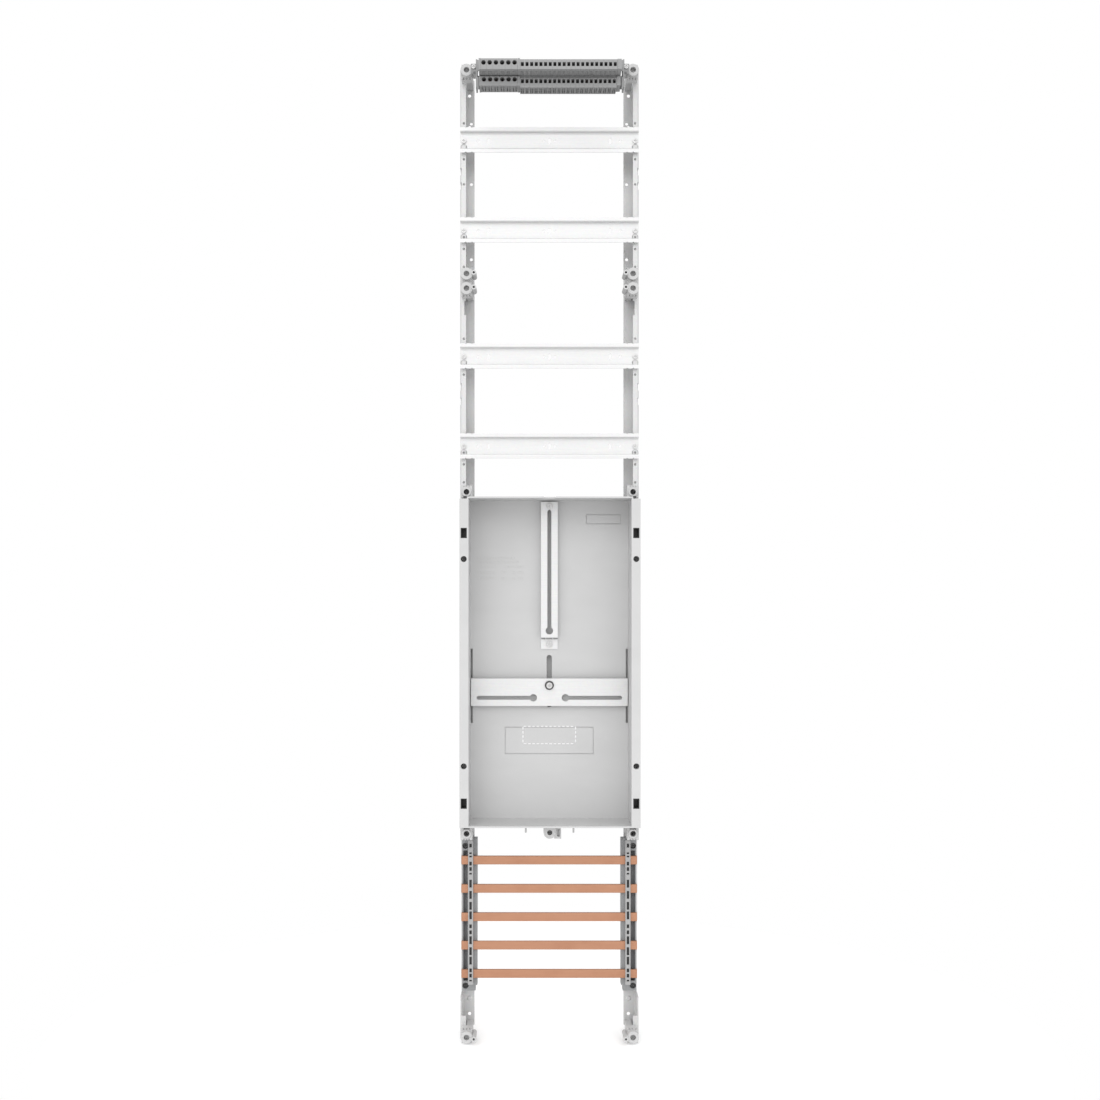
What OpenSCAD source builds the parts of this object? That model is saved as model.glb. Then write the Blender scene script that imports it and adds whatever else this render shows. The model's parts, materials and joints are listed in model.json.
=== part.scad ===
// Inner fittings of one meter field for a switchboard cabinet: side profiles, mounting rails,
// a two-tier terminal block, a meter tray with its adjustable cross, and five busbars.
// X is to the right, Z is up and the front faces -Y. The origin is the centre of the four
// cabinet fixing holes, on the back plane. Millimetres.
// Inside the modules, heights are counted from the kit's bottom edge, and "f" is the distance
// forward of the back plane.

/* [Grid] */
// Height of one fitting module
module_h = 300; // [295:1:305]
// Height of the meter tray's place in the grid
tray_place_h = 450; // [450:1:460]
// Width over the side profiles
frame_w = 248.6; // [247.6:0.2:249]
// Depth of the side profiles
frame_depth = 46; // [45:1:48]
// Sheet thickness of the side profiles
sheet = 1.5; // [1.2:0.1:1.5]
// Width of a profile's front flange
flange_w = 8; // [7.5:0.5:9]
// Width of a profile's back web
web_w = 18.3; // [18.3:0.1:19]
// Distance of the cabinet fixing holes from the kit's centreline
fix_x = 113; // [112:0.5:114]
// Distance of the cabinet fixing holes from the kit's ends
fix_end = 22; // [21:0.5:23]
// Diameter of the cabinet fixing holes
fix_hole_d = 4.8; // [4:0.2:5]

/* [Mounting rails] */
// Height of a mounting rail
rail_h = 35; // [35:1:35]
// Depth of a mounting rail
rail_depth = 7.5; // [7.5:0.5:8]
// Sheet thickness of a mounting rail
rail_sheet = 1; // [0.8:0.1:1.2]
// Height of the lower rail above its module's bottom edge
rail_low = 75; // [74:1:76]
// Distance between the two rails of a module
rail_pitch = 125; // [124:1:126]

/* [Cover posts] */
// Distance of the post bores from the centreline
post_x = 114.5; // [114:0.1:114.8]
// Distance of the post bores from the module's end
post_end = 10; // [10:0.5:11]
// Diameter of the post bore
post_bore_d = 7.8; // [7:0.2:8]
// Diameter of a tray post's raised ring
post_ring_d = 12.6; // [12:0.2:13]
// Diameter of a cover post's round collar
post_collar_d = 16.4; // [15.6:0.2:16.6]
// Distance of the collar's face from the profile's flange
post_reach = 28; // [27:1:29]
// Distance of the small boss from the centreline
boss_x = 104.2; // [104:0.1:104.8]
// Diameter of the small boss
boss_d = 6.8; // [6.6:0.2:8]
// Diameter of the small boss's screw hole
boss_hole_d = 3.2; // [3:0.1:3.4]

/* [Terminals] */
// Number of large terminals
large_count = 6; // [6:1:6]
// Width of a large terminal
large_pitch = 8.3; // [8.2:0.1:8.3]
// Number of small terminals
small_count = 21; // [18:1:21]
// Width of a small terminal
small_pitch = 6.2; // [6:0.1:6.2]
// Left edge of the first large terminal
terminals_x = -93.6; // [-93.8:0.1:-93.4]
// Forward face of the upper tier
upper_face = 132; // [130:1:134]
// Forward face of the lower tier
lower_face = 110; // [108:1:112]
// Diameter of a large wire entry
large_entry_d = 6.2; // [6:0.1:6.4]

/* [Meter tray] */
// Width over the tray
tray_w = 246.4; // [245.8:0.2:247]
// Forward face of the tray's rim
tray_front = 95; // [94:1:97]
// Forward face of the tray's floor
floor_front = 25; // [25:1:26]
// Wall thickness of the tray
tray_wall = 2.2; // [2:0.1:2.4]
// Width of the rim along the tray's sides
rim_w = 12.3; // [12:0.1:12.6]
// Diameter of the cover screw holes in the rim
rim_hole_d = 8.2; // [7.6:0.2:8.2]
// Distance between the upper and lower cover screw holes
rim_hole_pitch = 282; // [280:1:284]
// Width of the meter rails' slots
meter_slot_w = 5.6; // [5.2:0.1:6]
// Width of the tray's centre slot
centre_slot_w = 7.4; // [7:0.1:7.6]
// Width of the cross meter rail
cross_w = 219.6; // [219:0.2:220]
// Height of the cross meter rail
cross_h = 38.4; // [38:0.1:39]
// Width of the vertical meter rail
upright_w = 23.4; // [23:0.2:24]

/* [Busbars] */
// Number of busbars
bar_count = 5; // [5:1:5]
// Distance between busbars
bar_pitch = 40; // [39.5:0.5:40]
// Height of a busbar
bar_h = 12; // [12:0.5:12.5]
// Thickness of a busbar
bar_t = 5; // [4.5:0.5:5]
// Height of the lowest busbar above the kit's bottom edge
bar_low = 84; // [83:0.5:85]

/* [Hidden] */
$fn = 48;
gap = 0.4;

// Heights of the grid, from the kit's bottom edge
tray_z = module_h;
upper_z = module_h + tray_place_h;
top_z = upper_z + module_h;
kit_h = top_z + module_h;

// Side profiles
half_w = frame_w / 2;
bend_r = 2.3;
web_in = half_w - web_w;
flange_in = half_w - flange_w;
flange_hole_x = 119.3;
relief_w = 2.3;
wall_slot_len = 10;
wall_slot_drops = [42, 62];
wall_slot_front = 16;
web_holes = [
    [110.5, 45, 4.4], [110.5, 152, 4.4], [110.5, 238, 4.2], [113, 234, 3.4],
];
bar_zone = [57, 277];
bar_zone_front = 17;
lower_flange = [5, 32];
corner_r = 6;
dimple = [8, 5, 1];

// Mounting rails
rail_len = frame_w - 0.6;
rail_lip = 5;
rail_bend_r = 1.8;
rail_heights = [
    top_z + rail_low + rail_pitch, top_z + rail_low,
    upper_z + rail_low + rail_pitch, upper_z + rail_low,
];
rail_back = frame_depth;
rail_screw_x = flange_hole_x;
rail_screw_d = 4;
rail_screw_head_d = 7;
rail_ring_d = 9;
rail_ring_drop = 8.6;

// Posts
post_half = 8;
post_face = frame_depth + post_reach;
cover_bore_len = 9;
tray_bore_len = 24;
post_recess = [8.4, 9, 1.6];
boss_face = post_face + 8;
boss_hole_len = 16;

// Terminal block
term_z = 1320;
term_underside = 1320.5;
term_slope = 3.5;
large_form = [1306, 1318.3, 1335.6];
small_form = [1303.5, 1315.6, 1334.4];
large_entry_z = [1329.5, 1314.5];
small_entry_z = [1327.3, 1312];
small_entry = [4, 5.4];
term_back = 74;
mini_rail_depth = 5.5;
bracket_x = [96.6, 98.6];
bracket_lug_t = 2.4;
bracket_lug_z = [1331, 1344.5];
partition_w = 3;
partition_x = terminals_x + large_count * large_pitch + 0.1;
small_x = partition_x + partition_w + 0.1;
small_end_x = small_x + small_count * small_pitch;
shell_t = 1.1;

// Meter tray
tray_half = tray_w / 2;
rim_in = tray_half - rim_w;
tray_low = tray_z + 1.5;
tray_top = upper_z - 0.6;
tray_wall_top = upper_z + 2.4;
floor_back = floor_front - tray_wall;
rim_lip_len = 20;
rim_dome_len = 24;
nut_channel = [[-8, 8], [454, 540], 8.6];
ear_channel_half = 2.6;
ear_channel_depth = 6.4;
rim_hole_x = 117.4;
socket_x = 117.35;
socket_w = 8.4;
socket_h = 14;
socket_z = [334.6, 702.7];
rim_hole_z = 385.3;
guide_slot_x = 109.2;
guide_slot_w = 2.8;
guide_slot = [437.8, 542.4];
centre_slot = [460.2, 533.5];
meter_sheet = 1.5;
cross_back = 33.5;
cross_z = 462.6;
cross_slot_z = 474;
cross_slot_x = [22.5, 101.8];
keyhole_d = 10.4;
clamp_z = 491.5;
clamp_thread_d = 6;
upright_back = 35;
upright_foot = [542, 558.4];
upright_slot = [567, 737];
upright_screws = [549, 742.5];
upright_seat_d = 9.8;
catch_z = 291;
catch_front = 70;

// Busbars
bar_back = bar_zone_front;
bar_front = bar_back + bar_t;
bar_len = frame_w - 0.8;
support_z = [59, 274];
support_x = [101.4, half_w - sheet - 0.2];
comb_x = [107.2, 114.2];
comb_z = [69.5, 272.5];
comb_front = bar_front + 4;
comb_slot_w = 3.4;
comb_liner = [108.2, 113.2];
support_screw_x = 118.2;
support_screw_d = 3.6;
support_screw_z = [66, 263.5];

// Colours
zinc = "#d9dbdc";
rail_steel = "#e6e8e8";
grey_plastic = "#cfd2d0";
post_grey = "#c9cbc9";
terminal_grey = "#a9abab";
copper = "#c8916f";
black = "#1d1d1f";

// A block given by its ranges along X, forward and up
module block(x, f, z) {
    translate([min(x[0], x[1]), -f[1], z[0]])
        cube([abs(x[1] - x[0]), f[1] - f[0], z[1] - z[0]]);
}

// A round peg or bore that runs forward from f[0] to f[1]
module peg(x, z, f, d) {
    translate([x, -f[0], z])
        rotate([90, 0, 0])
            cylinder(h = f[1] - f[0], d = d);
}

// A slot through the depth range f, with round ends, from one centre to the other
module upright_slot_cut(x, z, f, w) {
    block([x - w / 2, x + w / 2], f, [z[0] + w / 2, z[1] - w / 2]);
    for (end = [z[0] + w / 2, z[1] - w / 2])
        peg(x, end, f, w);
}

module level_slot_cut(x, z, f, w) {
    block([x[0] + w / 2, x[1] - w / 2], f, [z - w / 2, z + w / 2]);
    for (end = [x[0] + w / 2, x[1] - w / 2])
        peg(end, z, f, w);
}

// Lowers the kit so that the origin is the centre of the cabinet fixing holes
module placed() {
    translate([0, 0, -kit_h / 2])
        children();
}

// side = 1 leaves the right-hand piece as drawn, side = -1 mirrors it to the left
module on_side(side) {
    mirror([side < 0 ? 1 : 0, 0, 0])
        children();
}

// A quarter bend of sheet around the origin, filling the quadrant turned by "turn"
module bend(r, t, turn) {
    rotate(turn)
        intersection() {
            difference() {
                circle(r);
                circle(r - t);
            }
            square(r);
        }
}

// ---------------------------------------------------------------- side profiles

module profile_section() {
    translate([web_in, -sheet])
        square([half_w - bend_r - web_in, sheet]);
    translate([half_w - bend_r, -bend_r])
        bend(bend_r, sheet, 0);
    translate([half_w - sheet, -(frame_depth - bend_r)])
        square([sheet, frame_depth - 2 * bend_r]);
    translate([half_w - bend_r, -(frame_depth - bend_r)])
        bend(bend_r, sheet, -90);
    translate([flange_in, -frame_depth])
        square([flange_w - bend_r, sheet]);
}

module profile_blank(z) {
    translate([0, 0, z + gap / 2])
        linear_extrude(module_h - gap)
            profile_section();
}

module flange_hole(z) {
    peg(flange_hole_x, z, [frame_depth - sheet - 1, frame_depth + 1], 3.6);
}

module web_hole(x, z, d) {
    peg(x, z, [-1, sheet + 1], d);
}

module wall_slots(z) {
    for (drop = wall_slot_drops)
        block([half_w - bend_r + 0.4, half_w + 1], [frame_depth - wall_slot_front, frame_depth + 1],
            [z - drop - wall_slot_len / 2, z - drop + wall_slot_len / 2]);
}

// Upper profiles: z is the module's bottom edge, top is true for the top module
module upper_profile(z, top) {
    low_rail = z + rail_low;
    high_rail = low_rail + rail_pitch;
    color(zinc)
        difference() {
            profile_blank(z);
            for (h = [high_rail + 25, high_rail, high_rail - 25, low_rail, low_rail - rail_ring_drop,
                    low_rail - 25, low_rail - 50])
                flange_hole(h);
            wall_slots(high_rail);
            if (top) {
                flange_hole(high_rail - 60);
                web_hole(fix_x, kit_h - fix_end, fix_hole_d);
                for (h = web_holes)
                    web_hole(h[0], z + h[1], h[2]);
            }
            if (!top)
                block([flange_in - 1, flange_in + relief_w], [frame_depth - sheet - 1, frame_depth + 1],
                    [z + 258, z + 278]);
        }
}

// Lower profile: the flange and the front of the wall are cut away beside the busbars
module lower_profile() {
    color(zinc)
        difference() {
            profile_blank(0);
            block([flange_in - 1, half_w - bend_r + 1], [frame_depth - sheet - 1, frame_depth + 1],
                [lower_flange[1], module_h + 1]);
            block([half_w - bend_r, half_w + 1], [frame_depth - bend_r, frame_depth + 1],
                [lower_flange[1], module_h + 1]);
            block([half_w - bend_r - 1, half_w + 1], [bar_zone_front, frame_depth + 1], bar_zone);
            block([web_in - 1, web_in + corner_r / 2], [-1, sheet + 1], [-1, corner_r]);
            web_hole(fix_x, fix_end, fix_hole_d);
            for (z = support_screw_z)
                web_hole(support_screw_x, z, support_screw_d + 0.2);
        }
    color(zinc)
        translate([fix_x, 0.1 - sheet, 2 * fix_end])
            rotate([90, 0, 0])
                cylinder(h = dimple[2] + 0.1, d1 = dimple[0], d2 = dimple[1]);
}

// ---------------------------------------------------------------- posts

// Drawn with the module's end above the bore, at height 0: a round collar in front of a lower plate
module cover_post_body() {
    plate_x = [post_x - post_half + 0.8, post_x + post_half - 0.8];
    plate_front = post_face - 9;
    difference() {
        union() {
            block(plate_x, [frame_depth, plate_front], [-post_half - 1, post_end]);
            block([post_x - post_half + 1, flange_in - 0.2], [sheet, frame_depth], [-4, post_end]);
            peg(post_x, 0, [frame_depth + 4, post_face], post_collar_d);
        }
        peg(post_x, 0, [post_face - cover_bore_len, post_face + 1], post_bore_d);
        for (dx = [-4.2, 0, 4.2])
            block([post_x + dx - 1, post_x + dx + 1], [plate_front - 6, plate_front + 1],
                [-post_half - 2, -post_half + 0.6]);
    }
    small_boss();
}

// A square plate with a raised ring, and a tongue that reaches into the tray's hollow rim
module tray_post_body() {
    plate_front = post_face - 2.5;
    plate_end = post_end - 2.8;
    half_recess = post_recess[0] / 2;
    wall = rim_in + tray_wall;
    difference() {
        union() {
            block([post_x - post_half, post_x + post_half], [frame_depth, plate_front],
                [-post_half - 1, plate_end]);
            block([post_x - post_half + 1, flange_in - 0.2], [sheet, frame_depth], [-4, plate_end]);
            peg(post_x, 0, [plate_front - 1, post_face], post_ring_d);
            block([wall, wall + 7], [frame_depth + 6, frame_depth + 20], [plate_end - 2, post_end + 13]);
        }
        peg(post_x, 0, [post_face - tray_bore_len, post_face + 1], post_bore_d);
        block([post_x - half_recess, post_x + half_recess],
            [plate_front - post_recess[1], post_face + 1], [plate_end - post_recess[2], plate_end + 1]);
        for (dx = [-3.6, 0, 3.6])
            block([post_x + dx - 0.9, post_x + dx + 0.9], [plate_front - 4, plate_front + 1],
                [-post_half - 2, -post_half + 0.8]);
    }
}

module small_boss() {
    difference() {
        union() {
            peg(boss_x, 0, [frame_depth + 1, boss_face], boss_d);
            block([boss_x, post_x - post_half + 2], [frame_depth + 1, frame_depth + 14], [-2.4, 2.4]);
        }
        peg(boss_x, 0, [boss_face - boss_hole_len, boss_face + 1], boss_hole_d);
    }
}

// end = 1 where the module ends above the post, -1 where it ends below
module post(height, end) {
    color(post_grey)
        translate([0, 0, height])
            mirror([0, 0, end < 0 ? 1 : 0])
                children();
}

// ---------------------------------------------------------------- mounting rails

// Half of the rail's section, in depth and height, drawn upwards from its middle
module rail_half_section() {
    side = rail_h / 2 - rail_lip;
    translate([-rail_sheet, 0])
        square([rail_sheet, side - rail_bend_r]);
    translate([-rail_bend_r, side - rail_bend_r])
        bend(rail_bend_r, rail_sheet, 0);
    translate([-(rail_depth - rail_bend_r), side - rail_sheet])
        square([rail_depth - 2 * rail_bend_r, rail_sheet]);
    translate([-(rail_depth - rail_bend_r), side + rail_bend_r - rail_sheet])
        bend(rail_bend_r, rail_sheet, 180);
    translate([-rail_depth, side + rail_bend_r - rail_sheet])
        square([rail_sheet, rail_lip - rail_bend_r + rail_sheet]);
}

module rail_section() {
    rail_half_section();
    mirror([0, 1])
        rail_half_section();
}

// A folded rail whose lips face forward; back is the plane behind its web
module rail_blank(length, z, back) {
    translate([-length / 2, -back, z])
        rotate([90, 0, 90])
            linear_extrude(length)
                rail_section();
}

module mounting_rail(index) {
    z = rail_heights[index];
    through = [rail_back - 1, rail_back + rail_sheet + 1];
    color(rail_steel)
        difference() {
            rail_blank(rail_len, z, rail_back);
            upright_slot_cut(0, [z - 3.8, z + 3.8], through, 3);
            for (side = [-1, 1]) {
                peg(side * 7.6, z, through, 3);
                upright_slot_cut(side * 84.6, [z - 3.6, z + 3.6], through, 2.6);
                peg(side * 99, z, through, 3.7);
                peg(side * rail_screw_x, z, through, rail_screw_d + 0.4);
                peg(side * rail_screw_x, z - rail_ring_drop, through, rail_ring_d);
                for (x = [107.7, 116.4])
                    rail_notches(side * x, z);
            }
        }
}

// A small notch in the outer edge of both lips
module rail_notches(x, z) {
    for (edge = [z - rail_h / 2, z + rail_h / 2])
        translate([x, -(rail_back + rail_depth), edge])
            rotate([0, 45, 0])
                cube([1.8, 4, 1.8], center = true);
}

module rail_screws() {
    head_back = rail_back + rail_sheet;
    color(zinc)
        for (z = rail_heights)
            for (side = [-1, 1]) {
                difference() {
                    peg(side * rail_screw_x, z, [head_back, head_back + 2.4], rail_screw_head_d);
                    block([side * rail_screw_x - 2, side * rail_screw_x + 2],
                        [head_back + 1.2, head_back + 3], [z - 0.45, z + 0.45]);
                    block([side * rail_screw_x - 0.45, side * rail_screw_x + 0.45],
                        [head_back + 1.2, head_back + 3], [z - 2, z + 2]);
                }
                peg(side * rail_screw_x, z, [frame_depth - 8, head_back], 3.5);
            }
}

// ---------------------------------------------------------------- terminal block

module terminal_rail() {
    reach = bracket_x[0];
    lip = [term_back - 1, term_back];
    color(rail_steel) {
        block([-reach, reach], [term_back - mini_rail_depth, term_back - mini_rail_depth + 1],
            [term_z - 5.5, term_z + 5.5]);
        for (s = [-1, 1]) {
            mid = term_z + s * 5;
            edge = term_z + s * 6.5;
            block([-reach, reach], [term_back - mini_rail_depth, term_back], [mid - 0.5, mid + 0.5]);
            block([-reach, reach], lip, [edge - 1, edge + 1]);
        }
    }
}

// Drawn for the right side: a forked plate beside the terminals and a lug on the post's small boss
module terminal_bracket() {
    lug = [boss_face, boss_face + bracket_lug_t];
    color(post_grey)
        difference() {
            union() {
                side_plate(bracket_x[0], bracket_x[1] - bracket_x[0], [
                    [68, 1318], [78, 1311.5], [104, 1303.5], [104, 1319.6],
                    [96, 1322], [84, 1328], [68, 1330],
                ]);
                side_plate(bracket_x[0], bracket_x[1] - bracket_x[0], [
                    [84, 1334.5], [94, 1331], [104, 1328], [104, 1341], [99, 1344.5], [84, 1344.5],
                ]);
                block([bracket_x[1] - 0.1, bracket_x[1] + 2], [80, 103], [1306, 1344]);
                block([bracket_x[1], boss_x + boss_d / 2 + 0.6], lug, [bracket_lug_z[0], bracket_lug_z[1]]);
                block([bracket_x[1], bracket_x[1] + 6], [boss_face, 92], [bracket_lug_z[0], 1334]);
            }
            peg(boss_x, kit_h - post_end, [lug[0] - 1, lug[1] + 1], boss_hole_d + 0.4);
        }
}

module bracket_screws() {
    color(zinc)
        for (side = [-1, 1])
            pan_screw(side * boss_x, kit_h - post_end, boss_face + bracket_lug_t, 6, boss_hole_d, 12);
}

// The side view of a terminal as [forward, up] points; form is its bottom, its lower tier's top
// and its top
function terminal_outline(form, grow) = [
    [term_back, form[0] + 6 - grow], [term_back + 9, form[0] - grow],
    [lower_face + grow, form[0] - grow], [lower_face + grow, form[1]],
    [lower_face - term_slope, term_underside - grow], [upper_face + grow, term_underside - grow],
    [upper_face + grow, form[2] + grow - 2], [upper_face - 2, form[2] + grow],
    [term_back + 9, form[2] + grow], [term_back, form[2] - 6 + grow],
];

// Extrudes an outline in the forward-up plane from x to x + width
module side_plate(x, width, outline) {
    translate([x, 0, 0])
        rotate([90, 0, 90])
            linear_extrude(width)
                polygon([for (p = outline) [-p[0], p[1]]]);
}

// The hooks that grip the small rail's lips
module rail_hooks(x, width) {
    for (s = [-1, 1]) {
        arm = term_z + s * 8.3;
        claw = term_z + s * 7.9;
        block([x, x + width], [term_back - 2.6, term_back + 1], [arm - 0.8, arm + 0.8]);
        block([x, x + width], [term_back - 2.6, term_back - 1], [claw - 1.2, claw + 1.2]);
    }
}

// The open-sided pocket that holds the current bar
pocket = [
    [84, 1309.5], [96, 1309.5], [96, 1322], [118, 1324], [118, 1332], [84, 1332],
];

module terminal_shell(x, width, form) {
    difference() {
        union() {
            side_plate(x, width - 0.1, terminal_outline(form, 0));
            rail_hooks(x, width - 0.1);
        }
        side_plate(x + shell_t, width, pocket);
    }
}

// The slots under each tier: two for a screwdriver above, and a pair of long test slots below
module release_slots(mid, width, low) {
    across = [mid - width / 2, mid + width / 2];
    block(across, [111.6, 114.6], [term_underside - 1, term_underside + 1.4]);
    block(across, [119, 122.6], [term_underside - 1, term_underside + 3]);
    for (dx = [-width / 3, width / 3])
        block([mid + dx - 0.6, mid + dx + 0.6], [86, lower_face - 4], [low - 1, low + 2.6]);
}

module large_terminal(index) {
    x = terminals_x + index * large_pitch;
    mid = x + large_pitch / 2;
    color(terminal_grey)
        difference() {
            terminal_shell(x, large_pitch, large_form);
            peg(mid, large_entry_z[0], [110, upper_face + 1], large_entry_d);
            peg(mid, large_entry_z[1], [90, lower_face + 1], large_entry_d);
            release_slots(mid, 5.2, large_form[0]);
        }
}

module small_terminal(index) {
    x = small_x + index * small_pitch;
    mid = x + small_pitch / 2;
    half_w_entry = small_entry[0] / 2;
    half_h_entry = small_entry[1] / 2;
    color(terminal_grey)
        difference() {
            terminal_shell(x, small_pitch, small_form);
            block([mid - half_w_entry, mid + half_w_entry], [110, upper_face + 1],
                [small_entry_z[0] - half_h_entry, small_entry_z[0] + half_h_entry]);
            block([mid - half_w_entry, mid + half_w_entry], [90, lower_face + 1],
                [small_entry_z[1] - half_h_entry, small_entry_z[1] + half_h_entry]);
            release_slots(mid, 3.4, small_form[0]);
        }
}

module small_terminals() {
    for (i = [0:small_count - 1])
        small_terminal(i);
}

// The bar that joins a terminal's two clamps, flat against the pocket's floor
module current_bar(x, width) {
    color(copper)
        side_plate(x + shell_t + 0.2, width, [
            [86, 1310], [88.5, 1310], [88.5, 1322], [109, 1326], [109, 1331], [106.5, 1331],
            [106.5, 1328], [86, 1324.5],
        ]);
}

module large_current_bars() {
    for (i = [0:large_count - 1])
        current_bar(terminals_x + i * large_pitch, 5.6);
}

module small_current_bars() {
    for (i = [0:small_count - 1])
        current_bar(small_x + i * small_pitch, 3.6);
}

module end_piece(x, width, grow) {
    side_plate(x, width, terminal_outline(large_form, grow));
    rail_hooks(x, width);
}

module end_plate_left() {
    color(terminal_grey)
        end_piece(terminals_x - 2.3, 2.2, 0.4);
}

module group_partition() {
    color(terminal_grey)
        end_piece(partition_x, partition_w, 0.4);
}

module end_clamp_right() {
    color(terminal_grey)
        end_piece(small_end_x + 0.1, 5.6, -0.6);
}

// ---------------------------------------------------------------- meter tray

// The tray's section in the X-Y plane, right half: floor, inner wall, rim and lip
module tray_half_section() {
    translate([0, -floor_front])
        square([rim_in + tray_wall, tray_wall]);
    translate([rim_in, -tray_front])
        square([tray_wall, tray_front - floor_front + tray_wall]);
    translate([rim_in, -tray_front])
        square([rim_w, tray_wall]);
    translate([tray_half - tray_wall + 0.6, -tray_front])
        square([tray_wall - 0.6, rim_lip_len]);
}

module tray_end_wall(z) {
    block([-rim_in - tray_wall, rim_in + tray_wall], [floor_back, tray_front], [z, z + tray_wall]);
}

module tray_groove(x, z) {
    depth = 1.3;
    line = 1.2;
    difference() {
        block(x, [floor_front - depth, floor_front + 1], z);
        block([x[0] + line, x[1] - line], [floor_front - depth - 1, floor_front + 2],
            [z[0] + line, z[1] - line]);
    }
}

// A closed channel behind the floor, around a slot
module back_channel(x, z, depth) {
    wall = 1.4;
    difference() {
        block([x[0] - wall, x[1] + wall], [floor_back - depth - wall, floor_back + 0.5],
            [z[0] - wall, z[1] + wall]);
        block(x, [floor_back - depth, floor_back + 1], z);
    }
}

// A closed dome behind the rim for a cover screw
module screw_dome(x, z) {
    peg(x, z, [tray_front - rim_dome_len, tray_front - 1], rim_hole_d + 2);
}

// Dashed row of slits around the knock-out panel
module knockout_slits(x, z) {
    through = [floor_back - 1, floor_front + 1];
    step = 6;
    for (px = [x[0] + step / 2 : step : x[1] - 1])
        for (pz = z)
            block([px - 2, px + 2], through, [pz - 0.7, pz + 0.7]);
    for (pz = [z[0] + step / 2 + 1 : step : z[1] - 1])
        for (px = x)
            block([px - 0.7, px + 0.7], through, [pz - 2, pz + 2]);
}

module meter_tray() {
    through = [floor_back - 1, floor_front + 1];
    rim_through = [tray_front - tray_wall - 1, tray_front + 1];
    rim_bore = [tray_front - rim_dome_len + 1.6, tray_front + 1];
    color(grey_plastic)
        difference() {
            union() {
                translate([0, 0, tray_low])
                    linear_extrude(tray_top - tray_low) {
                        tray_half_section();
                        mirror([1, 0])
                            tray_half_section();
                    }
                tray_end_wall(tray_low);
                tray_end_wall(tray_wall_top - tray_wall);
                block([-rim_in - tray_wall, rim_in + tray_wall], [floor_back, floor_front],
                    [tray_top - 1, tray_wall_top]);
                for (side = [-1, 1]) {
                    block([side * rim_in, side * (rim_in + tray_wall)], [floor_back, tray_front],
                        [tray_top - 1, tray_wall_top]);
                    peg_down(side * 33);
                    for (z = [rim_hole_z, rim_hole_z + rim_hole_pitch])
                        screw_dome(side * rim_hole_x, z);
                    ear = side * guide_slot_x;
                    back_channel([ear - ear_channel_half, ear + ear_channel_half],
                        [guide_slot[0] - 1, guide_slot[1] + 1], ear_channel_depth);
                }
                back_channel(nut_channel[0], nut_channel[1], nut_channel[2]);
                for (z = upright_screws)
                    peg(0, z, [floor_back - 8, floor_back + 1], 9);
            }
            upright_slot_cut(0, centre_slot, through, centre_slot_w);
            for (side = [-1, 1]) {
                block([side * guide_slot_x - guide_slot_w / 2, side * guide_slot_x + guide_slot_w / 2],
                    through, guide_slot);
                for (z = [rim_hole_z, rim_hole_z + rim_hole_pitch])
                    peg(side * rim_hole_x, z, rim_bore, rim_hole_d);
                for (z = socket_z)
                    block([side * socket_x - socket_w / 2, side * socket_x + socket_w / 2],
                        rim_through, [z - socket_h / 2, z + socket_h / 2]);
            }
            for (z = upright_screws)
                peg(0, z, [floor_back - 7, floor_front + 1], 3.2);
            block([-8.5, 8.5], [tray_front - 9, tray_front + 1],
                [tray_wall_top - tray_wall - 1, tray_wall_top + 1]);
            tray_groove([51.5, 100.8], [717.5, 731.5]);
            block([-upright_w / 2, upright_w / 2], [floor_front - 1.2, floor_front + 1],
                [upright_foot[1] - 2.8, upright_foot[1]]);
            tray_groove([-62.5, 62.5], [394, 432.5]);
            knockout_slits([-37, 37], [408.5, 433]);
        }
}

// A short pin that hangs from the tray's bottom wall
module peg_down(x) {
    translate([x, -60, tray_low - 12])
        cylinder(h = 13, d = 2.6);
}

module cover_sockets() {
    hole_w = socket_w - 2.6;
    hole_h = socket_h - 2.6;
    color(black)
        for (side = [-1, 1])
            for (z = socket_z)
                difference() {
                    block([side * socket_x - socket_w / 2, side * socket_x + socket_w / 2],
                        [tray_front - 16, tray_front - 0.4], [z - socket_h / 2, z + socket_h / 2]);
                    block([side * socket_x - hole_w / 2, side * socket_x + hole_w / 2],
                        [tray_front - 14, tray_front + 1], [z - hole_h / 2, z + hole_h / 2]);
                }
}

module upright_meter_rail() {
    front = upright_back + meter_sheet;
    through = [floor_front - 1, front + 1];
    half = upright_w / 2;
    top = tray_top - 1;
    foot_front = floor_front + meter_sheet;
    foot_top = upright_foot[1] + meter_sheet;
    color(rail_steel)
        difference() {
            union() {
                block([-half, half], [upright_back, front], [upright_foot[1], top]);
                for (side = [-1, 1])
                    block([side * half, side * (half - meter_sheet)], [floor_front, front],
                        [upright_foot[1], top]);
                block([-half, half], [floor_front, front], [upright_foot[1], foot_top]);
                block([-half, half], [floor_front, foot_front], [upright_foot[0], foot_top]);
            }
            upright_slot_cut(0, upright_slot, [upright_back - 1, front + 1], meter_slot_w);
            peg(0, upright_slot[0] + 1, [upright_back - 1, front + 1], keyhole_d);
            for (z = upright_screws)
                peg(0, z, through, 4.6);
            peg(0, upright_screws[0], [foot_front - 0.7, front + 1], upright_seat_d);
            peg(0, upright_screws[1], [front - 0.7, front + 1], upright_seat_d);
            for (x = [[-half - 1, -5.6], [-4.4, 4.4], [5.6, half + 1]])
                block(x, [floor_front - 1, foot_front + 1], [upright_foot[1] - 2.8, upright_foot[1]]);
        }
}

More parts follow.
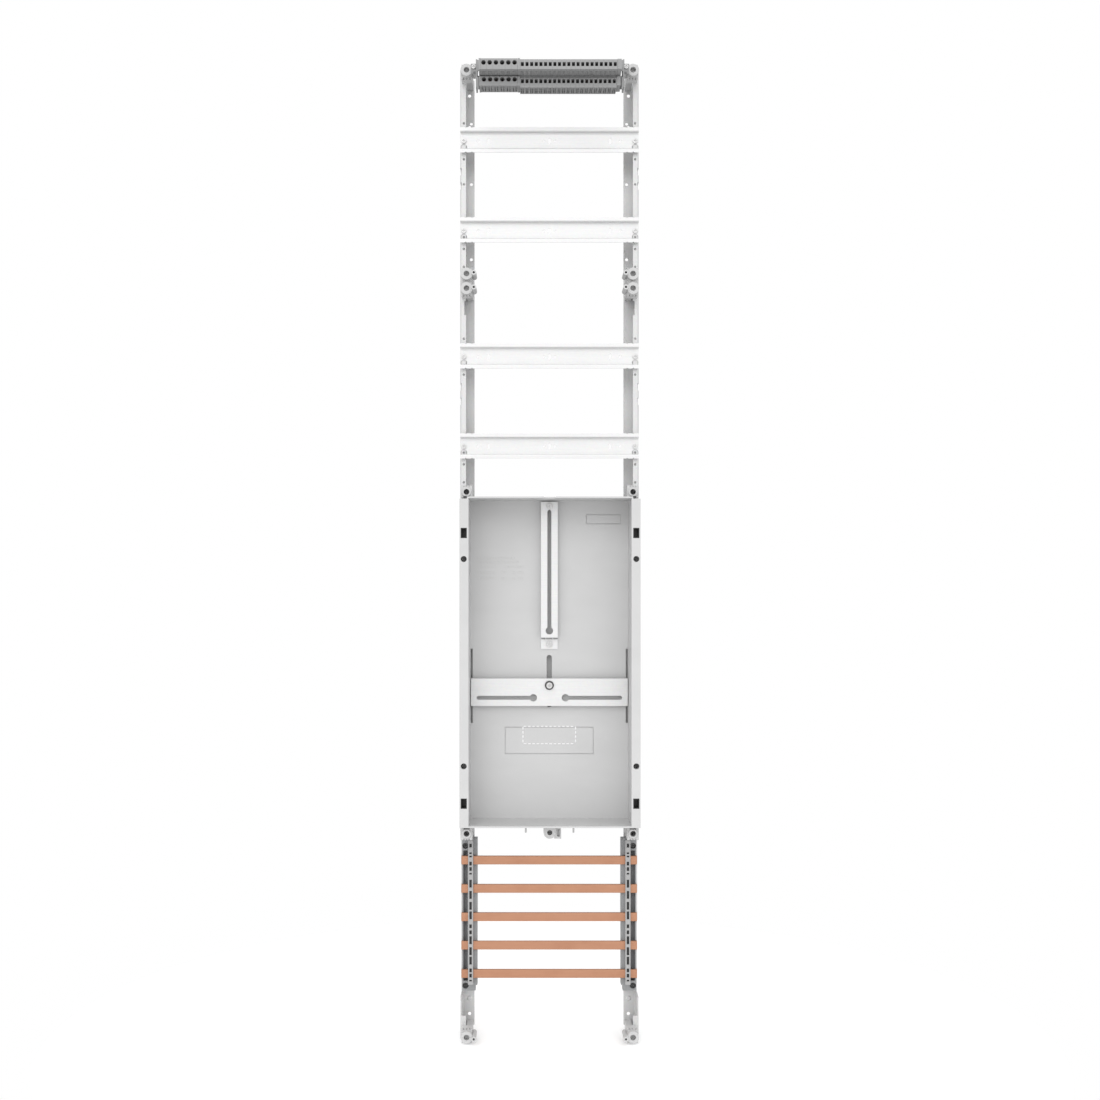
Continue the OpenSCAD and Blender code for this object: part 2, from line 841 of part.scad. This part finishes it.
module pan_screw(x, z, seat, head_d, shank_d, shank_len) {
    difference() {
        peg(x, z, [seat, seat + 2.6], head_d);
        block([x - 2, x + 2], [seat + 1.4, seat + 3], [z - 0.45, z + 0.45]);
        block([x - 0.45, x + 0.45], [seat + 1.4, seat + 3], [z - 2, z + 2]);
    }
    peg(x, z, [seat - shank_len, seat], shank_d);
}

module upright_rail_screws() {
    color(zinc) {
        pan_screw(0, upright_screws[0], floor_front + meter_sheet - 0.7, 8.2, 3.2, 7);
        pan_screw(0, upright_screws[1], upright_back + meter_sheet - 0.7, 8.2, 3.2, 17);
    }
}

module cross_meter_rail() {
    front = cross_back + meter_sheet;
    half = cross_w / 2;
    through = [cross_back - 1, front + 1];
    ear = [guide_slot_x - 0.9, guide_slot_x + 0.6];
    color(rail_steel)
        difference() {
            union() {
                block([-half, half], [cross_back, front], [cross_z, cross_z + cross_h]);
                for (side = [-1, 1]) {
                    block([side * ear[0], side * ear[1]], [floor_front + 0.2, front],
                        [cross_z, cross_z + cross_h]);
                    block([side * ear[0], side * ear[1]], [floor_back - 5, front], [472, 492]);
                }
            }
            for (side = [-1, 1]) {
                slot = side > 0 ? cross_slot_x : [-cross_slot_x[1], -cross_slot_x[0]];
                level_slot_cut(slot, cross_slot_z, through, meter_slot_w);
                peg(side * cross_slot_x[0], cross_slot_z, through, keyhole_d);
            }
            peg(0, clamp_z, through, clamp_thread_d + 0.6);
        }
}

// The clamp: screw and washer in front of the cross rail, square nut behind the tray's floor
module clamp_screw() {
    seat = cross_back + meter_sheet + 2;
    color(zinc) {
        difference() {
            peg(0, clamp_z, [seat, seat + 4], 8.4);
            block([-2.2, 2.2], [seat + 2, seat + 5], [clamp_z - 0.5, clamp_z + 0.5]);
            block([-0.5, 0.5], [seat + 2, seat + 5], [clamp_z - 2.2, clamp_z + 2.2]);
        }
        peg(0, clamp_z, [floor_back - 6.6, seat + 1], clamp_thread_d);
    }
}

module clamp_washer() {
    seat = cross_back + meter_sheet;
    color("#6f7274")
        difference() {
            peg(0, clamp_z, [seat, seat + 1.95], 12.8);
            peg(0, clamp_z, [seat - 1, seat + 3], clamp_thread_d + 0.4);
        }
}

module clamp_nut() {
    back = floor_back - 5.3;
    color(zinc)
        difference() {
            block([-6.5, 6.5], [back, back + 5], [clamp_z - 6.5, clamp_z + 6.5]);
            peg(0, clamp_z, [back - 1, back + 6], clamp_thread_d + 0.1);
        }
}

// The sealing catch under the tray: a round-bottomed lug with a side wing
module seal_catch() {
    back = catch_front - 26;
    lug_r = 8.4;
    color(post_grey)
        difference() {
            union() {
                block([-lug_r, lug_r], [back, catch_front], [catch_z, tray_low]);
                peg(0, catch_z, [back, catch_front], 2 * lug_r);
                block([lug_r - 2, 15.8], [back + 4, catch_front - 4], [catch_z - 9, tray_low - 3]);
            }
            block([-5.5, 5.5], [back + 4, catch_front + 1], [tray_low - 3.8, tray_low - 1.4]);
            peg(0, catch_z, [catch_front - 20, catch_front + 1], 7);
            block([10.4, 13.8], [catch_front - 8, catch_front + 1], [catch_z - 6, tray_low - 6]);
        }
}

module catch_screw() {
    color("#8b8d8e")
        difference() {
            peg(0, catch_z, [catch_front - 19.8, catch_front - 2.2], 6.9);
            block([-2.8, 2.8], [catch_front - 3.6, catch_front], [catch_z - 0.7, catch_z + 0.7]);
        }
}

// ---------------------------------------------------------------- busbars

function bar_height(index) = bar_low + index * bar_pitch;

module busbar(index) {
    z = bar_height(index);
    color(copper)
        block([-bar_len / 2, bar_len / 2], [bar_back, bar_front], [z - bar_h / 2, z + bar_h / 2]);
}

// Drawn for the right side: a ribbed plate with a deep channel behind the bars
module busbar_support() {
    inner = support_x[0];
    channel = [comb_x[1] + 1, 121.2];
    color("#8d928f")
        difference() {
            block(support_x, [sheet, bar_back], support_z);
            block(channel, [6, bar_back + 1], [73, 257]);
            block([comb_x[0] + 2.1, comb_x[1] - 2.1], [6, bar_back + 1], [73, 270]);
            block([inner - 1, inner + 2.4], [sheet - 1, bar_back + 1], [support_z[0] - 1, 67]);
            block([support_x[1] - 1, support_x[1] + 1], [sheet - 1, sheet + 1],
                [support_z[0] - 1, support_z[1] + 1]);
            for (z = support_screw_z)
                peg(support_screw_x, z, [9, bar_back + 1], 8.8);
            for (z = support_screw_z)
                peg(support_screw_x, z, [0, bar_back + 1], 4.2);
        }
}

// Slots of the comb, by length
long_slots = [103.5, 116.8, 132.2, 167.2, 180.6, 196, 211.8];
short_slots = [82.4, 89.8, 143.4, 151.8, 232.4, 240, 265.4];
tiny_slots = [75.4, 225.8, 250, 254.6];

module comb_slot(z, length) {
    mid = (comb_x[0] + comb_x[1]) / 2;
    block([mid - comb_slot_w / 2, mid + comb_slot_w / 2], [bar_front + 1, comb_front + 1],
        [z - length / 2, z + length / 2]);
}

// A strip in front of the bars with spacers that reach back between them
module busbar_comb() {
    color("#e9ebea")
        difference() {
            union() {
                block(comb_x, [bar_front + 0.1, comb_front], comb_z);
                for (i = [0:bar_count])
                    comb_spacer(i);
            }
            for (z = long_slots)
                comb_slot(z, 11.2);
            for (z = short_slots)
                comb_slot(z, 5.4);
            for (z = tiny_slots)
                comb_slot(z, 2.4);
            liner_strip();
        }
}

// The dark strip inside the comb, between the slots and the bars
module liner_strip() {
    block(comb_liner, [bar_front + 0.1, bar_front + 1.2], [comb_z[0] + 2, comb_z[1] - 2]);
}

module comb_liners() {
    color(black)
        for (side = [-1, 1])
            on_side(side)
                liner_strip();
}

module comb_spacer(index) {
    low = index == 0 ? comb_z[0] : bar_height(index - 1) + bar_h / 2 + 0.2;
    high = index == bar_count ? comb_z[1] : bar_height(index) - bar_h / 2 - 0.2;
    block(comb_x, [bar_back, bar_front + 1], [low, high]);
}

module support_screws() {
    color(zinc)
        for (side = [-1, 1])
            for (z = support_screw_z)
                pan_screw(side * support_screw_x, z, 9, 8.2, support_screw_d, 9);
}

// ---------------------------------------------------------------- assembly

for (i = [0:1]) {
    side = i == 0 ? -1 : 1;
    tail = i == 0 ? "left" : "right";
    placed() on_side(side) upper_profile(top_z, true);
    placed() on_side(side) upper_profile(upper_z, false);
    placed() on_side(side) lower_profile();
    placed() on_side(side) post(kit_h - post_end, 1) cover_post_body();
    placed() on_side(side) post(top_z + post_end, -1) cover_post_body();
    placed() on_side(side) post(top_z - post_end, 1) cover_post_body();
    placed() on_side(side) post(upper_z + post_end, -1) tray_post_body();
    placed() on_side(side) post(tray_z - post_end, 1) tray_post_body();
    placed() on_side(side) post(post_end, -1) cover_post_body();
    placed() on_side(side) terminal_bracket();
    placed() on_side(side) busbar_support();
    placed() on_side(side) busbar_comb();
}
for (i = [0:3])
    placed() mounting_rail(i);
for (i = [0:large_count - 1])
    placed() large_terminal(i);
for (i = [0:bar_count - 1])
    placed() busbar(i);
placed() rail_screws();
placed() terminal_rail();
placed() bracket_screws();
placed() end_plate_left();
placed() end_clamp_right();
placed() group_partition();
placed() small_terminals();
placed() large_current_bars();
placed() small_current_bars();
placed() meter_tray();
placed() cover_sockets();
placed() upright_meter_rail();
placed() upright_rail_screws();
placed() cross_meter_rail();
placed() clamp_screw();
placed() clamp_washer();
placed() clamp_nut();
placed() seal_catch();
placed() catch_screw();
placed() comb_liners();
placed() support_screws();
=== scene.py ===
"""Looks for the inner fittings of one meter field: folded zinc profiles, mounting rails, a two-tier
terminal block, a moulded meter tray with its adjustable cross, and five copper busbars."""

import json
import math

import bmesh
import bpy
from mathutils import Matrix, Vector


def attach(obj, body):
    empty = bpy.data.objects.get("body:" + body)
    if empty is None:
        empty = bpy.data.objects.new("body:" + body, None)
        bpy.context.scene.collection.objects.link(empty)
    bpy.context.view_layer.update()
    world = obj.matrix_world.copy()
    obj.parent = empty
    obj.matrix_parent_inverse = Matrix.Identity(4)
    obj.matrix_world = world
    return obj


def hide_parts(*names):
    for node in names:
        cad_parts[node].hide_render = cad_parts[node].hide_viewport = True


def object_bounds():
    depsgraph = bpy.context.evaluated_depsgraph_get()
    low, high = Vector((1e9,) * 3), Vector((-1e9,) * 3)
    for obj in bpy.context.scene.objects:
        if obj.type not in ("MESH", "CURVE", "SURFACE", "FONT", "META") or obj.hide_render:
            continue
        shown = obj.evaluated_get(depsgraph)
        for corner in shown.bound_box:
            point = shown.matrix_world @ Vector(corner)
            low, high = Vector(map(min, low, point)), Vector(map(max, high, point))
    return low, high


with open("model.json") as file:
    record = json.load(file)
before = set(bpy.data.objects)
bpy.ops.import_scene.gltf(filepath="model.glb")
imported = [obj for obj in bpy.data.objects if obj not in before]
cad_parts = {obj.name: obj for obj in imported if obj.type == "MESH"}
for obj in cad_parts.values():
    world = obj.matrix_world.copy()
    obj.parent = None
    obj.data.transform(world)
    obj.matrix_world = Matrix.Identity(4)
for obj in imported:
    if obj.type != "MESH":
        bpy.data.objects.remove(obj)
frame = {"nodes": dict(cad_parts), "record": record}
cad_low, cad_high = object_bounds()
NODES = frame["nodes"]
BODY_OF = {node: body for body, nodes in frame["record"]["behaviour"]["bodies"].items() for node in nodes}
SLOT_OF = {part["node"]: part["material_slot"] for part in frame["record"]["subparts"]}
MM = 0.001


# ---------------------------------------------------------------- shader maths

class Wire:
    """A node's output that takes part in ordinary arithmetic."""

    def __init__(self, tree, out):
        self.tree = tree
        self.out = out

    def math(self, operation, *values):
        return add_node(self.tree, "ShaderNodeMath", {"operation": operation}, dict(enumerate(values)))

    def __add__(self, other):
        return self.math("ADD", self, other)

    def __radd__(self, other):
        return self.math("ADD", other, self)

    def __sub__(self, other):
        return self.math("SUBTRACT", self, other)

    def __rsub__(self, other):
        return self.math("SUBTRACT", other, self)

    def __mul__(self, other):
        return self.math("MULTIPLY", self, other)

    def __rmul__(self, other):
        return self.math("MULTIPLY", other, self)

    def ramp(self, low, high):
        """0 below low, 1 above high, straight between them."""
        return add_node(self.tree, "ShaderNodeMapRange", {"clamp": True},
                        {"Value": self, "From Min": low, "From Max": high})


def add_node(tree, kind, settings=None, inputs=None, out=0):
    """Adds a node: its settings first, then the values or wires of its sockets."""
    node = tree.nodes.new(kind)
    for name, value in (settings or {}).items():
        setattr(node, name, value)
    for name, value in (inputs or {}).items():
        if isinstance(value, Wire):
            tree.links.new(value.out, node.inputs[name])
        else:
            node.inputs[name].default_value = value
    return Wire(tree, node.outputs[out])


class Finish:
    """A material under construction: its places, its noises and its surface shader."""

    def __init__(self, name):
        self.material = bpy.data.materials.new(name)
        self.material.use_nodes = True
        self.tree = self.material.node_tree
        self.shader = self.tree.nodes["Principled BSDF"]
        self.place = add_node(self.tree, "ShaderNodeTexCoord", out="Object")

    def stretched(self, scale):
        """The place in millimetres, multiplied along each axis."""
        return add_node(self.tree, "ShaderNodeMapping", {},
                        {"Vector": self.place, "Scale": [s / MM for s in scale]})

    def noise(self, per_mm, detail=3.0, roughness=0.5):
        """A noise from 0 to 1 whose scale along each axis is given per millimetre."""
        return add_node(self.tree, "ShaderNodeTexNoise", {},
                        {"Vector": self.stretched(per_mm), "Scale": 1.0, "Detail": detail,
                         "Roughness": roughness})

    def cells(self, per_mm):
        """A colour for each crystal-like cell."""
        return add_node(self.tree, "ShaderNodeTexVoronoi", {},
                        {"Vector": self.stretched([per_mm] * 3), "Scale": 1.0}, "Color")

    def mix(self, factor, a, b, blend="MIX"):
        """Blends two colours."""
        node = self.tree.nodes.new("ShaderNodeMix")
        node.data_type = "RGBA"
        node.blend_type = blend
        for socket, value in ((node.inputs[0], factor), (node.inputs[6], a), (node.inputs[7], b)):
            if isinstance(value, Wire):
                self.tree.links.new(value.out, socket)
            else:
                socket.default_value = value
        return Wire(self.tree, node.outputs[2])

    def surface(self, **values):
        """Sets the shader's sockets by name, with _ for a space."""
        for name, value in values.items():
            socket = self.shader.inputs[name.replace("_", " ")]
            if isinstance(value, Wire):
                self.tree.links.new(value.out, socket)
            else:
                socket.default_value = value

    def bump(self, height, depth_mm, strength):
        """A normal bent by a height of up to depth_mm."""
        return add_node(self.tree, "ShaderNodeBump", {},
                        {"Height": height, "Distance": depth_mm * MM, "Strength": strength})


def grey(level, warm=0.0):
    """A near-neutral colour; warm above 0 leans to yellow, below 0 to blue."""
    return (level * (1 + warm), level, level * (1 - warm), 1.0)


# ---------------------------------------------------------------- finishes

def zinc_plate(name, level, grain, rough):
    """Zinc-plated sheet: fine drawn grain along the fold, faint crystals and dull clouds."""
    f = Finish(name)
    drawn = f.noise(grain, detail=4.0)
    crystals = f.cells(0.35)
    cloud = f.noise([0.02] * 3, detail=2.0)
    tone = f.mix(drawn.ramp(0.3, 0.7), grey(level * 0.965, -0.004), grey(level * 1.02, 0.004))
    tone = f.mix(0.05, tone, crystals, "SOFT_LIGHT")
    tone = f.mix(cloud.ramp(0.35, 0.7) * 0.06, tone, grey(level * 0.8, -0.01))
    f.surface(Base_Color=tone, Metallic=0.45, Roughness=drawn * 0.12 + (rough - 0.06) + cloud * 0.06,
              Normal=f.bump(drawn, 0.02, 0.35))
    return f.material


def moulded_plastic(name, level, warm, rough, texture_mm=0.5, depth_mm=0.02):
    """Injection-moulded plastic with a fine spark-eroded texture and faint flow marks."""
    f = Finish(name)
    texture = f.noise([1 / texture_mm] * 3, detail=2.0)
    flow = f.noise([0.012, 0.012, 0.03], detail=2.0)
    tone = f.mix(flow.ramp(0.3, 0.7), grey(level * 0.975, warm), grey(level * 1.02, warm))
    tone = f.mix(texture.ramp(0.4, 0.7) * 0.10, tone, grey(level * 0.86, warm))
    f.surface(Base_Color=tone, Metallic=0.0, Roughness=texture * 0.10 + (rough - 0.05) + flow * 0.05,
              Normal=f.bump(texture, depth_mm, 0.4))
    return f.material


def drawn_copper(name):
    """Drawn copper bar: lines along its length, warm tarnish in patches."""
    f = Finish(name)
    lines = f.noise([0.015, 4.0, 4.0], detail=3.0)
    patches = f.noise([0.03, 0.05, 0.05], detail=3.0, roughness=0.6)
    tone = f.mix(lines.ramp(0.3, 0.7), (0.425, 0.208, 0.124, 1), (0.49, 0.256, 0.158, 1))
    tone = f.mix(patches.ramp(0.45, 0.75) * 0.35, tone, (0.36, 0.163, 0.093, 1))
    f.surface(Base_Color=tone, Metallic=0.55, Roughness=lines * 0.14 + 0.36 + patches * 0.06,
              Normal=f.bump(lines, 0.015, 0.4))
    return f.material


def turned_steel(name, level, rough):
    """A screw's plated steel, with a little grime."""
    f = Finish(name)
    grime = f.noise([0.8] * 3, detail=3.0)
    tone = f.mix(grime.ramp(0.35, 0.75), grey(level * 1.05), grey(level * 0.75, 0.01))
    f.surface(Base_Color=tone, Metallic=0.7, Roughness=grime * 0.2 + (rough - 0.08),
              Normal=f.bump(grime, 0.02, 0.3))
    return f.material


FINISHES = {
    "zinc_sheet": zinc_plate("zinc_sheet", 0.59, [0.6, 0.6, 0.03], 0.46),
    "rail_steel": zinc_plate("rail_steel", 0.68, [0.03, 0.9, 0.9], 0.42),
    "screw_steel": turned_steel("screw_steel", 0.60, 0.38),
    "dark_steel": turned_steel("dark_steel", 0.10, 0.42),
    "post_plastic": moulded_plastic("post_plastic", 0.52, 0.0, 0.48),
    "terminal_plastic": moulded_plastic("terminal_plastic", 0.29, -0.004, 0.46, 0.35),
    "tray_plastic": moulded_plastic("tray_plastic", 0.535, 0.0, 0.5, 0.6, 0.03),
    "black_plastic": moulded_plastic("black_plastic", 0.014, 0.0, 0.4),
    "support_plastic": moulded_plastic("support_plastic", 0.27, -0.02, 0.5),
    "comb_plastic": moulded_plastic("comb_plastic", 0.36, 0.0, 0.5, 0.4),
    "busbar_copper": drawn_copper("busbar_copper"),
    "contact_copper": drawn_copper("contact_copper"),
}

for node, obj in NODES.items():
    obj.data.materials.clear()
    obj.data.materials.append(FINISHES[SLOT_OF[node]])


# ---------------------------------------------------------------- shaped pieces

# Corners closer than this are one corner
JOIN_MM = 0.002
# Faces that meet at less than this angle are one flat face
FLAT_DEG = 0.4
# Edges sharper than this are rounded, in this many steps
SHARP_DEG = 28
ROUND_STEPS = 2


def finished_piece(name, bm, body, slot):
    """Turns a bmesh into a piece that rides on a body, with the finish of its slot."""
    bmesh.ops.recalc_face_normals(bm, faces=bm.faces)
    mesh = bpy.data.meshes.new(name)
    bm.to_mesh(mesh)
    bm.free()
    mesh.shade_smooth()
    mesh.materials.append(FINISHES[slot])
    piece = bpy.data.objects.new(name, mesh)
    bpy.context.scene.collection.objects.link(piece)
    even = piece.modifiers.new("even_shading", "WEIGHTED_NORMAL")
    even.keep_sharp = False
    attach(piece, body)
    return piece


def round_edges(bm, width):
    """Joins the flat parts of each face and rounds every sharp edge."""
    bmesh.ops.remove_doubles(bm, verts=bm.verts, dist=JOIN_MM * MM)
    bmesh.ops.dissolve_limit(bm, angle_limit=math.radians(FLAT_DEG), verts=bm.verts, edges=bm.edges)
    limit = math.radians(SHARP_DEG)
    sharp = [edge for edge in bm.edges if len(edge.link_faces) == 2 and edge.calc_face_angle() > limit]
    bmesh.ops.bevel(bm, geom=sharp, offset=width, offset_type="OFFSET", segments=ROUND_STEPS, profile=0.5,
                    affect="EDGES", clamp_overlap=True)
    bmesh.ops.triangulate(bm, faces=[face for face in bm.faces if len(face.verts) > 4])


def soften(node, width_mm):
    """A moulded or drawn piece with the CAD shape and rounded edges, in place of its CAD node."""
    bm = bmesh.new()
    bm.from_mesh(NODES[node].data)
    round_edges(bm, width_mm * MM)
    piece = finished_piece(node + "_rounded", bm, BODY_OF[node], SLOT_OF[node])
    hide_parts(node)


# How wide the rounding of each material's edges is
ROUNDING_MM = {
    "post_plastic": 0.45, "terminal_plastic": 0.3, "tray_plastic": 0.5, "black_plastic": 0.3,
    "support_plastic": 0.5, "comb_plastic": 0.25, "busbar_copper": 0.8, "screw_steel": 0.25,
    "dark_steel": 0.25,
}
for node, slot in SLOT_OF.items():
    if slot in ROUNDING_MM:
        soften(node, ROUNDING_MM[slot])


def raised_block(bm, centre, size, width):
    """A small block with rounded edges, added to a bmesh."""
    made = bmesh.ops.create_cube(bm, size=1.0)["verts"]
    bmesh.ops.scale(bm, verts=made, vec=size)
    bmesh.ops.translate(bm, verts=made, vec=centre)
    edges = list({edge for vert in made for edge in vert.link_edges})
    bmesh.ops.bevel(bm, geom=edges, offset=width, segments=ROUND_STEPS, profile=0.5, affect="EDGES",
                    clamp_overlap=True)


# Rows of plain raised dashes on the tray's floor: the row's height in the frame, then each run's
# ends across, in millimetres
DATA_ROWS_MM = [
    (-5.3, [(-101.7, -48.0)]),
    (-11.3, [(-101.7, -42.6)]),
    (-17.4, [(-101.7, -72.0), (-62.8, -34.7)]),
    (-25.4, [(-101.7, -75.0), (-68.0, -59.5), (-52.8, -46.8), (-44.0, -35.5)]),
    (-33.4, [(-101.7, -75.0), (-68.0, -59.5), (-52.8, -46.8), (-44.0, -35.5)]),
]
DASH_MM = (3.2, 1.0, 2.6)
DASH_ROUNDING_MM = 0.15
DASH_STEP_MM = 4.6
TRAY_FLOOR_MM = 25.0


def data_rows():
    """The moulded data field of the tray's floor, kept to unlettered dashes."""
    bm = bmesh.new()
    size = [side * MM for side in DASH_MM]
    for height, runs in DATA_ROWS_MM:
        for start, end in runs:
            count = max(1, round((end - start) / DASH_STEP_MM))
            for i in range(count):
                x = start + (i + 0.5) * (end - start) / count
                centre = (x * MM, -TRAY_FLOOR_MM * MM, height * MM)
                raised_block(bm, centre, size, DASH_ROUNDING_MM * MM)
    finished_piece("tray_data_rows", bm, BODY_OF["meter_tray"], SLOT_OF["meter_tray"])


data_rows()


# ---------------------------------------------------------------- floor, light and camera

FLOOR_RADIUS = 0.7
# The room's brightness, and how much it falls towards the back and rises towards the top
ROOM_GLOW = 0.86
ROOM_FALL_BACK = 0.54
ROOM_RISE_UP = 0.32
LAMP_STRENGTH = 0.35
LAMP_SPREAD_DEG = 30
LAMP_TURN_DEG = (62, 0, -12)
CAMERA_PLACE = (-0.0313, -2.095, -0.043)
CAMERA_LENS_MM = 48.14
CAMERA_SHIFT = (0.0209, 0.0318)


def studio_floor():
    bm = bmesh.new()
    bmesh.ops.create_circle(bm, cap_ends=True, segments=96, radius=FLOOR_RADIUS)
    bmesh.ops.translate(bm, verts=bm.verts, vec=(0, 0, cad_low.z))
    mesh = bpy.data.meshes.new("studio_floor")
    bm.to_mesh(mesh)
    bm.free()
    floor = bpy.data.objects.new("studio_floor", mesh)
    bpy.context.scene.collection.objects.link(floor)
    f = Finish("studio_floor")
    cloud = f.noise([0.002] * 3)
    f.surface(Base_Color=f.mix(cloud, grey(0.9), grey(0.94)), Roughness=0.9)
    f.surface(Emission_Color=(1, 1, 1, 1), Emission_Strength=0.16)
    mesh.materials.append(f.material)


def studio_light():
    world = bpy.data.worlds.new("studio")
    bpy.context.scene.world = world
    world.use_nodes = True
    tree = world.node_tree
    room = tree.nodes["Background"]
    seen = add_node(tree, "ShaderNodeLightPath", out="Is Camera Ray")
    way = add_node(tree, "ShaderNodeTexCoord", out="Generated")
    back = add_node(tree, "ShaderNodeSeparateXYZ", {}, {"Vector": way}, "Y")
    up = Wire(tree, back.out.node.outputs["Z"])
    glow = ROOM_GLOW - back * ROOM_FALL_BACK + up * ROOM_RISE_UP
    strength = glow + seen * (1.0 - glow)
    room.inputs["Color"].default_value = (1, 1, 1, 1)
    tree.links.new(strength.out, room.inputs["Strength"])
    key = bpy.data.lights.new("key", "SUN")
    key.energy = LAMP_STRENGTH
    key.angle = math.radians(LAMP_SPREAD_DEG)
    lamp = bpy.data.objects.new("key", key)
    lamp.rotation_euler = [math.radians(turn) for turn in LAMP_TURN_DEG]
    bpy.context.scene.collection.objects.link(lamp)
    bpy.context.scene.view_settings.view_transform = "Standard"


def front_camera():
    data = bpy.data.cameras.new("front")
    data.sensor_width = 36
    data.lens = CAMERA_LENS_MM
    data.shift_x, data.shift_y = CAMERA_SHIFT
    camera = bpy.data.objects.new("front", data)
    camera.location = CAMERA_PLACE
    camera.rotation_euler = (math.radians(90), 0, 0)
    bpy.context.scene.collection.objects.link(camera)
    bpy.context.scene.camera = camera


studio_floor()
studio_light()
front_camera()
